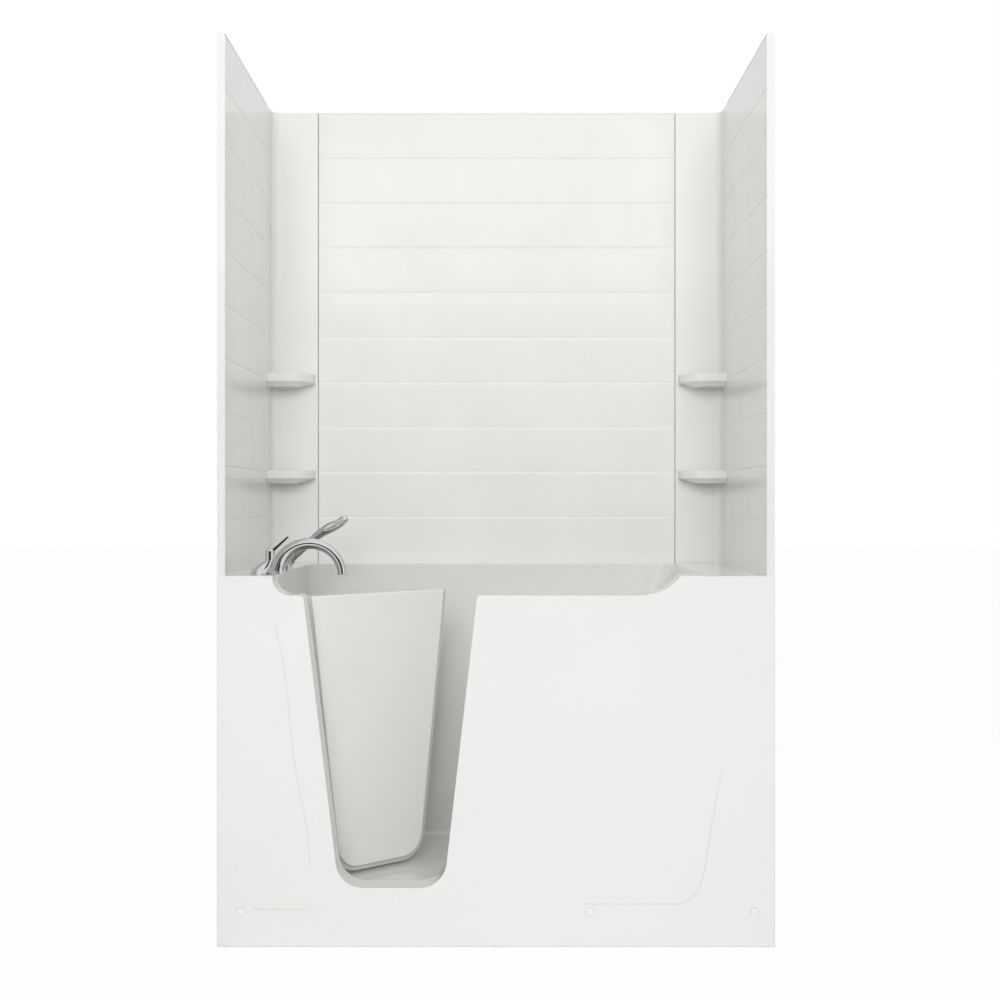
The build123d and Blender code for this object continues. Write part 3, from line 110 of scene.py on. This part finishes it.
# The tub shell gets a darker copy of the acrylic colour: painted shade for the basin's shaded interior
tub_skin_painted_shade = material("tub_skin_painted_shade", colour(228, 228, 225), colour(233, 233, 231), (0.10, 0.16), scale=2.0, coat=0.3,
                    edge=0.004)
acrylic = material("acrylic", colour(236, 236, 233), colour(240, 240, 238), (0.10, 0.16), scale=2.0, coat=0.3,
                   edge=0.004)
apron_skin = material("apron_skin", colour(239, 240, 237), colour(242, 242, 240), (0.22, 0.30), scale=1.5,
                      edge=0.004)
tile_skin = material("tile_skin", colour(236, 236, 232), colour(240, 240, 237), (0.10, 0.18), scale=3.0, coat=0.3)
corner_skin = material("corner_skin", colour(236, 236, 233), colour(239, 239, 237), (0.12, 0.2), scale=2.0, coat=0.3,
                       edge=0.003)
chrome = material("chrome", colour(206, 207, 208), colour(216, 217, 218), (0.05, 0.10), metallic=1.0, scale=20.0)
steel = material("steel", colour(150, 151, 152), colour(172, 173, 174), (0.28, 0.42), metallic=1.0, scale=30.0,
                 grain=300.0, stretch=(1, 1, 8))
frame_steel = material("frame_steel", colour(62, 65, 68), colour(76, 79, 82), (0.42, 0.58), metallic=0.3, scale=8.0,
                       bump=0.05)
seal_rubber = material("seal_rubber", colour(205, 205, 203), colour(214, 214, 212), (0.55, 0.7), scale=12.0, bump=0.05)
pipe_plastic = material("pipe_plastic", colour(226, 226, 223), colour(234, 234, 232), (0.32, 0.45), scale=10.0)
pump_plastic = material("pump_plastic", colour(30, 30, 32), colour(40, 40, 43), (0.42, 0.6), scale=15.0, bump=0.08)
motor_paint = material("motor_paint", colour(52, 58, 66), colour(62, 68, 77), (0.35, 0.5), metallic=0.2, scale=10.0)
cap_plastic = material("cap_plastic", colour(244, 244, 243), colour(249, 249, 248), (0.2, 0.3), scale=20.0)
brass = material("brass", colour(196, 164, 98), colour(212, 182, 116), (0.22, 0.36), metallic=1.0, scale=14.0)

skins = {
    "acrylic": acrylic,
    "apron_acrylic": apron_skin,
    "wall_acrylic": tile_skin,
    "chrome": chrome,
    "steel": steel,
    "frame_steel": frame_steel,
    "seal_rubber": seal_rubber,
    "pipe_plastic": pipe_plastic,
    "pump_plastic": pump_plastic,
    "motor_paint": motor_paint,
    "cap_plastic": cap_plastic,
    "brass": brass,
}
slot_of = {entry["node"]: entry["material_slot"] for entry in frame["record"]["subparts"]}
for name, node in nodes.items():
    skin = skins[slot_of[name]]
    if "corner_panel" in name or "shelves" in name:
        skin = corner_skin
    # The tub shell takes the darker acrylic copy, painted shade for the basin interior
    if name == "tub_shell":
        skin = tub_skin_painted_shade
    node.data.materials.clear()
    node.data.materials.append(skin)


# Wall panels with slightly crowned tiles between rounded grooves
tile_pitch = 0.1475
groove = ((0.0, -0.0012), (0.0009, -0.00115), (0.0018, -0.0008), (0.003, -0.0004), (0.0055, -0.00015), (0.011, -0.00003))
upright_groove = tuple((step, depth * 0.35) for step, depth in groove)


joint = ((0.0, -0.0048), (0.0024, -0.0046), (0.003, -0.0006), (0.005, 0.0))


def stations(low, high, lines, profile=groove, border=()):
    marks = [low] + [line for line in lines if low < line < high] + [high]
    found = []
    for start, end in zip(marks, marks[1:]):
        if start in lines:
            found += [(start + step, depth) for step, depth in profile if start + step < (start + end) / 2]
        else:
            found += [(start + step, depth) for step, depth in border] or [(start, 0.0)]
        found += [((start + end) / 2, 0.0)]
        if end in lines:
            found += [(end - step, depth) for step, depth in reversed(profile[1:]) if end - step > (start + end) / 2]
    found += [(high - step, depth) for step, depth in reversed(border)] or [(high, 0.0)]
    return found


def finish_mesh(form, name, skin, body, replaced=(), smooth=True, sharp=40):
    bmesh.ops.recalc_face_normals(form, faces=form.faces)
    data = bpy.data.meshes.new(name)
    form.to_mesh(data)
    form.free()
    if smooth:
        data.shade_smooth()
        data.set_sharp_from_angle(angle=radians(sharp))
    made = bpy.data.objects.new(name, data)
    scene.collection.objects.link(made)
    data.materials.append(skin)
    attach(made, body)
    if replaced:
        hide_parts(*replaced)
    return made


def tiled_panel(name, across, upward, place, thickness, node):
    form = bmesh.new()
    columns = []
    for u, u_depth in across:
        columns.append([form.verts.new(place(u, v, min(u_depth, v_depth))) for v, v_depth in upward])
    backs = [[form.verts.new(place(u, v, -thickness)) for v, _ in upward] for u, _ in across]
    for left, right in zip(columns, columns[1:]):
        for a, b, c, d in zip(left, right, right[1:], left[1:]):
            form.faces.new((a, b, c, d))
    corners = (backs[0][0], backs[-1][0], backs[-1][-1], backs[0][-1])
    rim = [column[0] for column in columns] + columns[-1][1:] + [column[-1] for column in columns[-2::-1]]
    rim += columns[0][-2:0:-1]
    back_rim = [column[0] for column in backs] + backs[-1][1:] + [column[-1] for column in backs[-2::-1]]
    back_rim += backs[0][-2:0:-1]
    for a, b, c, d in zip(rim, rim[1:] + rim[:1], back_rim[1:] + back_rim[:1], back_rim):
        form.faces.new((a, b, c, d))
    form.faces.new(back_rim)
    keep = set(back_rim)
    bmesh.ops.delete(form, geom=[vert for column in backs for vert in column if vert not in keep], context="VERTS")
    return finish_mesh(form, name, tile_skin, "tub", (node,), sharp=60)


low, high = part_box("back_wall_panel")
row_lines = [1.1676 + tile_pitch * step for step in range(10)]
column_lines = [tile_pitch * step for step in range(-3, 4)]
face_y = low.y
tiled_panel(
    "tiled_back_wall",
    stations(low.x, high.x, column_lines, upright_groove, joint),
    stations(low.z, high.z, row_lines),
    lambda u, v, depth: Vector((u, face_y - depth, v)),
    high.y - low.y,
    "back_wall_panel",
)

depth_lines = [-0.381 + tile_pitch * step for step in range(1, 5)]
for side, node in ((-1, "left_wall_panel"), (1, "right_wall_panel")):
    low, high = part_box(node)
    inner_x = high.x if side < 0 else low.x
    tiled_panel(
        f"tiled_{node}",
        stations(low.y, high.y, depth_lines, upright_groove),
        stations(low.z, high.z, row_lines),
        lambda u, v, depth, side=side, inner_x=inner_x: Vector((inner_x - side * depth, u, v)),
        high.x - low.x,
        node,
    )


# A dark grey strip in each joint between the back panel and a corner panel: painted shade standing in for the shadowed
# gap
seam_shade_skin = material("seam_shade_skin", colour(150, 150, 148), colour(164, 164, 162), (0.5, 0.65), scale=9.0, bump=0.05)
seam_low, seam_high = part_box("back_wall_panel")
seam_width = 0.0018
seam_deep = 0.0012
for side, edge_x in (("left", seam_low.x), ("right", seam_high.x - seam_width)):
    seam = bmesh.new()
    bmesh.ops.create_cube(seam, size=1.0)
    seam_size = Vector((seam_width, seam_deep, seam_high.z - seam_low.z))
    seam_middle = Vector((edge_x + seam_width / 2, seam_low.y + 0.0008 + seam_deep / 2, (seam_low.z + seam_high.z) / 2))
    bmesh.ops.scale(seam, vec=seam_size, verts=seam.verts)
    bmesh.ops.translate(seam, vec=seam_middle, verts=seam.verts)
    finish_mesh(seam, f"painted_seam_shade_{side}", seam_shade_skin, "tub", smooth=False)


# Stacked rings closed at both ends, each ring an oval at one depth along the outward direction
def oval_stack(form, centre, along, across, outward, rings, sides=40):
    loops = []
    for depth, half_long, half_wide in rings:
        loop = []
        for step in range(sides):
            turn = 2 * pi * step / sides
            reach = along * (half_long * cos(turn)) + across * (half_wide * sin(turn))
            loop.append(form.verts.new(centre + outward * depth + reach))
        loops.append(loop)
    for under, over in zip(loops, loops[1:]):
        for a, b, c, d in zip(under, under[1:] + under[:1], over[1:] + over[:1], over):
            form.faces.new((a, b, c, d))
    form.faces.new(loops[0])
    form.faces.new(loops[-1])


# Spray face of the hand shower: a chrome rim, a grey plate and rows of nozzles
spray_turn = radians(21.0)
spray_along = Vector((cos(spray_turn), 0.0, sin(spray_turn)))
spray_across = Vector((-sin(spray_turn), 0.0, cos(spray_turn)))
spray_out = Vector((0.0, -1.0, 0.0))
wand_low, wand_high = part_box("hand_shower")
spray_centre = Vector((wand_high.x - 0.050, wand_low.y + 0.010, wand_high.z - 0.033))
spray_rim = bmesh.new()
rim_rings = (
    (-0.004, 0.034, 0.0128),
    (0.006, 0.034, 0.0128),
    (0.0085, 0.033, 0.0118),
    (0.0095, 0.031, 0.0100),
    (0.0090, 0.029, 0.0085),
    (0.0070, 0.0285, 0.0080),
)
oval_stack(spray_rim, spray_centre, spray_along, spray_across, spray_out, rim_rings)
finish_mesh(spray_rim, "spray_rim", chrome, "hand_shower")
spray_plate = bmesh.new()
plate_rings = ((0.0065, 0.027, 0.0070), (0.0080, 0.027, 0.0070), (0.0086, 0.026, 0.0062))
oval_stack(spray_plate, spray_centre, spray_along, spray_across, spray_out, plate_rings)
for row in (-1, 0, 1):
    for column in range(-4, 5):
        if abs(column) + abs(row) > 4:
            continue
        spot = spray_centre + spray_along * (0.0055 * column) + spray_across * (0.0038 * row)
        nozzle_rings = ((0.0080, 0.0010, 0.0010), (0.0098, 0.0008, 0.0008))
        oval_stack(spray_plate, spot, spray_along, spray_across, spray_out, nozzle_rings, sides=8)
finish_mesh(spray_plate, "spray_plate", seal_rubber, "hand_shower")


# The floor and the white surround
floor_mesh = bpy.data.meshes.new("floor")
floor_form = bmesh.new()
bmesh.ops.create_grid(floor_form, x_segments=8, y_segments=8, size=30.0)
floor_form.to_mesh(floor_mesh)
floor_form.free()
floor = bpy.data.objects.new("floor", floor_mesh)
scene.collection.objects.link(floor)
floor.location.z = -0.0005
floor_skin = bpy.data.materials.new("floor_skin")
floor_skin.use_nodes = True
tree = floor_skin.node_tree
tree.nodes.clear()
out = tree.nodes.new("ShaderNodeOutputMaterial")
matte = tree.nodes.new("ShaderNodeBsdfDiffuse")
matte.inputs["Color"].default_value = (0.86, 0.86, 0.86, 1.0)
glow = tree.nodes.new("ShaderNodeEmission")
glow.inputs["Strength"].default_value = 1.0
path = tree.nodes.new("ShaderNodeLightPath")
part = tree.nodes.new("ShaderNodeMath")
part.operation = "MULTIPLY"
part.inputs[1].default_value = 0.97
blend = tree.nodes.new("ShaderNodeMixShader")
mirrored = tree.nodes.new("ShaderNodeMath")
mirrored.operation = "MAXIMUM"
tree.links.new(path.outputs["Is Camera Ray"], mirrored.inputs[0])
tree.links.new(path.outputs["Is Glossy Ray"], mirrored.inputs[1])
tree.links.new(mirrored.outputs[0], part.inputs[0])
tree.links.new(part.outputs[0], blend.inputs["Fac"])
tree.links.new(matte.outputs[0], blend.inputs[1])
tree.links.new(glow.outputs[0], blend.inputs[2])
tree.links.new(blend.outputs[0], out.inputs["Surface"])
floor.data.materials.append(floor_skin)

world = bpy.data.worlds.new("studio")
scene.world = world
world.use_nodes = True
tree = world.node_tree
tree.nodes.clear()
out = tree.nodes.new("ShaderNodeOutputWorld")
fill = tree.nodes.new("ShaderNodeBackground")
fill.inputs["Color"].default_value = (1.0, 1.0, 1.0, 1.0)
fill.inputs["Strength"].default_value = 0.36
white = tree.nodes.new("ShaderNodeBackground")
white.inputs["Color"].default_value = (1.0, 1.0, 1.0, 1.0)
white.inputs["Strength"].default_value = 1.0
path = tree.nodes.new("ShaderNodeLightPath")
seen = tree.nodes.new("ShaderNodeMath")
seen.operation = "MAXIMUM"
seen_any = tree.nodes.new("ShaderNodeMath")
seen_any.operation = "MAXIMUM"
blend = tree.nodes.new("ShaderNodeMixShader")
tree.links.new(path.outputs["Is Camera Ray"], seen.inputs[0])
tree.links.new(path.outputs["Is Glossy Ray"], seen.inputs[1])
tree.links.new(seen.outputs[0], seen_any.inputs[0])
tree.links.new(path.outputs["Is Transmission Ray"], seen_any.inputs[1])
tree.links.new(seen_any.outputs[0], blend.inputs["Fac"])
tree.links.new(fill.outputs[0], blend.inputs[1])
tree.links.new(white.outputs[0], blend.inputs[2])
tree.links.new(blend.outputs[0], out.inputs["Surface"])


# Two soft lamps: one broad in front, one above
def lamp(name, place, aim, width, height, power):
    data = bpy.data.lights.new(name, "AREA")
    data.shape = "RECTANGLE"
    data.size = width
    data.size_y = height
    data.energy = power
    made = bpy.data.objects.new(name, data)
    scene.collection.objects.link(made)
    made.location = place
    made.rotation_euler = (Vector(aim) - Vector(place)).to_track_quat("-Z", "Y").to_euler()
    made.visible_glossy = False
    return made


lamp("front_lamp", (0.0, -6.5, 3.6), (0.0, 0.0, 1.2), 4.0, 3.0, 255.0)
lamp("top_lamp", (0.0, -1.0, 5.0), (0.0, 0.0, 0.8), 3.0, 3.0, 20.0)

# A grey card behind the camera that shows in polished pieces alone
card_mesh = bpy.data.meshes.new("card")
card_form = bmesh.new()
bmesh.ops.create_grid(card_form, x_segments=1, y_segments=1, size=1.0)
card_form.to_mesh(card_mesh)
card_form.free()
card = bpy.data.objects.new("card", card_mesh)
scene.collection.objects.link(card)
card.scale = (3.2, 1.1, 1.0)
card.location = (0.0, -5.0, 1.6)
card.rotation_euler = (pi / 2, 0.0, 0.0)
for ray in ("camera", "diffuse", "transmission", "volume_scatter", "shadow"):
    setattr(card, f"visible_{ray}", False)
card_skin = bpy.data.materials.new("card_skin")
card_skin.use_nodes = True
card_skin.node_tree.nodes["Principled BSDF"].inputs["Base Color"].default_value = (0.03, 0.03, 0.03, 1.0)
card.data.materials.append(card_skin)

camera_data = bpy.data.cameras.new("camera")
camera_data.lens = 47.12
camera_data.sensor_width = 36.0
camera = bpy.data.objects.new("camera", camera_data)
scene.collection.objects.link(camera)
camera.location = (0.011, -3.956, 1.2236)
camera.rotation_euler = (pi / 2, 0.0, 0.0)
scene.camera = camera
scene.view_settings.view_transform = "Standard"
